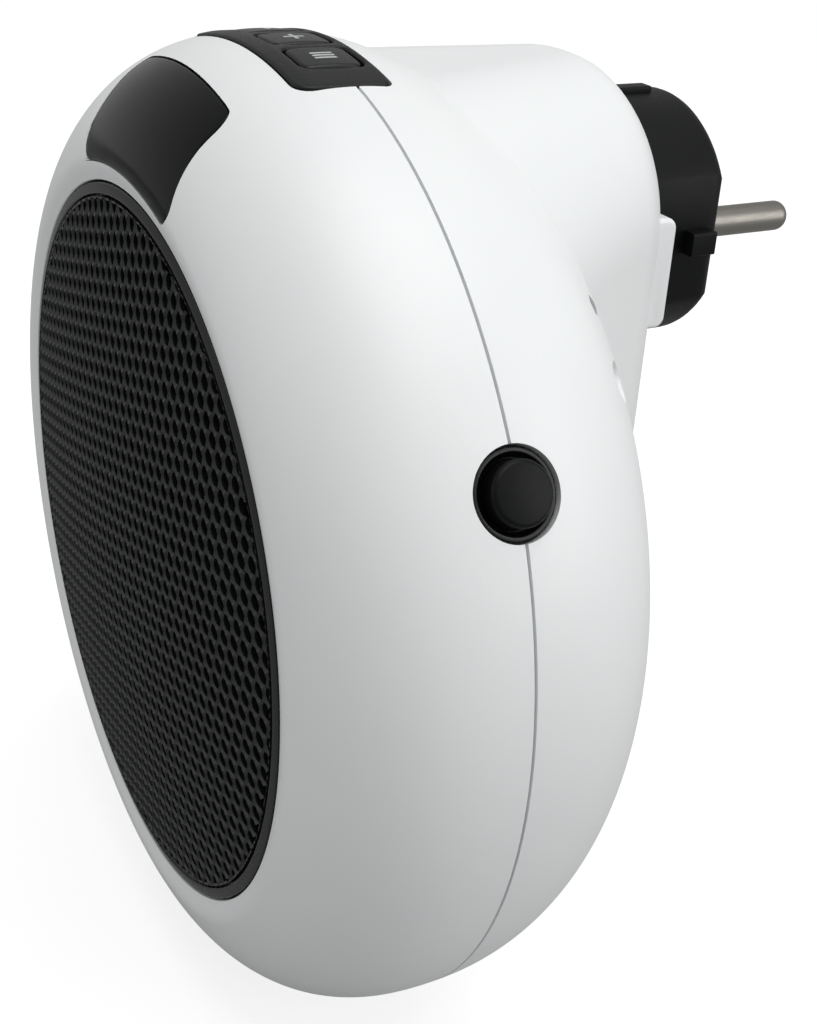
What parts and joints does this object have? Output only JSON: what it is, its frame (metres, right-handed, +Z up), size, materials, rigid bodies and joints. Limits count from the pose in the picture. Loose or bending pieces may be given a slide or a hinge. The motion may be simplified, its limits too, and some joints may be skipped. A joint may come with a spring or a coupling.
{
  "type": "plug-in fan heater",
  "caption": "Round plug-in fan heater with a domed front grille, display window, top keys, side push button and rear two-pin plug.",
  "frame": {"origin": "middle of the plug's contact face, between the two pins", "axes": "+Y runs into the wall along the pins, +Z is up, +X is the power button's side"},
  "size_m": [0.1484, 0.1115, 0.1486],
  "materials": {
    "steel": "plain steel",
    "green_board": "green circuit board",
    "black_panel": "satin black plastic",
    "display_face": "dark number display",
    "smoked_window": "glossy smoked window",
    "grey_duct": "dark grey plastic",
    "capacitor_yellow": "yellow capacitor case",
    "aluminium_fin": "thin aluminium strip",
    "black_mesh": "black honeycomb sheet",
    "white_shell": "satin moulded white plastic",
    "black_trim": "satin black plastic trim",
    "brown_frame": "brown heat-proof plastic",
    "lead_red": "red insulation",
    "lead_blue": "blue insulation",
    "black_key": "matte black keys",
    "plug_black": "matte black plug plastic",
    "nickel": "nickel-plated pins",
    "ceramic": "heating bars in a grey film",
    "relay_blue": "blue relay case",
    "brass": "brass tabs"
  },
  "bodies": {
    "housing": {"case_screw_left": "steel", "case_screw_lower_left": "steel", "case_screw_lower_right": "steel", "case_screw_right": "steel", "clamp_screw_left": "steel", "clamp_screw_right": "steel", "control_board": "green_board", "control_panel": "black_panel", "digit_display": "display_face", "display_board": "green_board", "display_lens": "smoked_window", "fan_duct": "grey_duct", "fan_motor": "steel", "filter_capacitor": "capacitor_yellow", "fin_pack_lower": "aluminium_fin", "fin_pack_middle": "aluminium_fin", "fin_pack_upper": "aluminium_fin", "front_grille": "black_mesh", "front_shell": "white_shell", "grille_ring": "black_trim", "heater_frame": "brown_frame", "lead_live": "lead_red", "lead_neutral": "lead_blue", "mains_lead_left": "lead_red", "mains_lead_right": "lead_blue", "menu_switch": "black_panel", "minus_switch": "black_panel", "plug_clamp": "grey_duct", "plug_insert": "plug_black", "plug_pin_left": "nickel", "plug_pin_right": "nickel", "plus_switch": "black_panel", "power_bezel": "black_trim", "power_board": "green_board", "power_switch": "black_panel", "ptc_bar_lower": "ceramic", "ptc_bar_upper": "ceramic", "rear_shell": "white_shell", "relay": "relay_blue", "terminal_live": "brass", "terminal_neutral": "brass", "thermal_cutout": "steel"},
    "fan": {"fan_impeller": "grey_duct", "fan_shaft": "steel"},
    "power_button": {"power_button": "black_key"},
    "menu_key": {"menu_key": "black_key"},
    "plus_key": {"plus_key": "black_key"},
    "minus_key": {"minus_key": "black_key"}
  },
  "joints": [
    {"name": "fan_spin", "type": "hinge", "parent": "housing", "child": "fan", "pos_m": [0, -0.0429, -0.045], "axis": [0, 1, 0], "continuous": true},
    {"name": "power_press", "type": "slide", "parent": "housing", "child": "power_button", "axis": [-0.8821, 0, -0.471], "range_m": [0, 0.0015], "stiffness_N_per_m": 600, "springref_m": -0.001},
    {"name": "menu_press", "type": "slide", "parent": "housing", "child": "menu_key", "axis": [-0.1321, 0, -0.9912], "range_m": [0, 0.0006], "stiffness_N_per_m": 800, "springref_m": -0.0005},
    {"name": "plus_press", "type": "slide", "parent": "housing", "child": "plus_key", "axis": [0, 0, -1], "range_m": [0, 0.0006], "stiffness_N_per_m": 800, "springref_m": -0.0005},
    {"name": "minus_press", "type": "slide", "parent": "housing", "child": "minus_key", "axis": [0.1321, 0, -0.9912], "range_m": [0, 0.0006], "stiffness_N_per_m": 800, "springref_m": -0.0005}
  ]
}
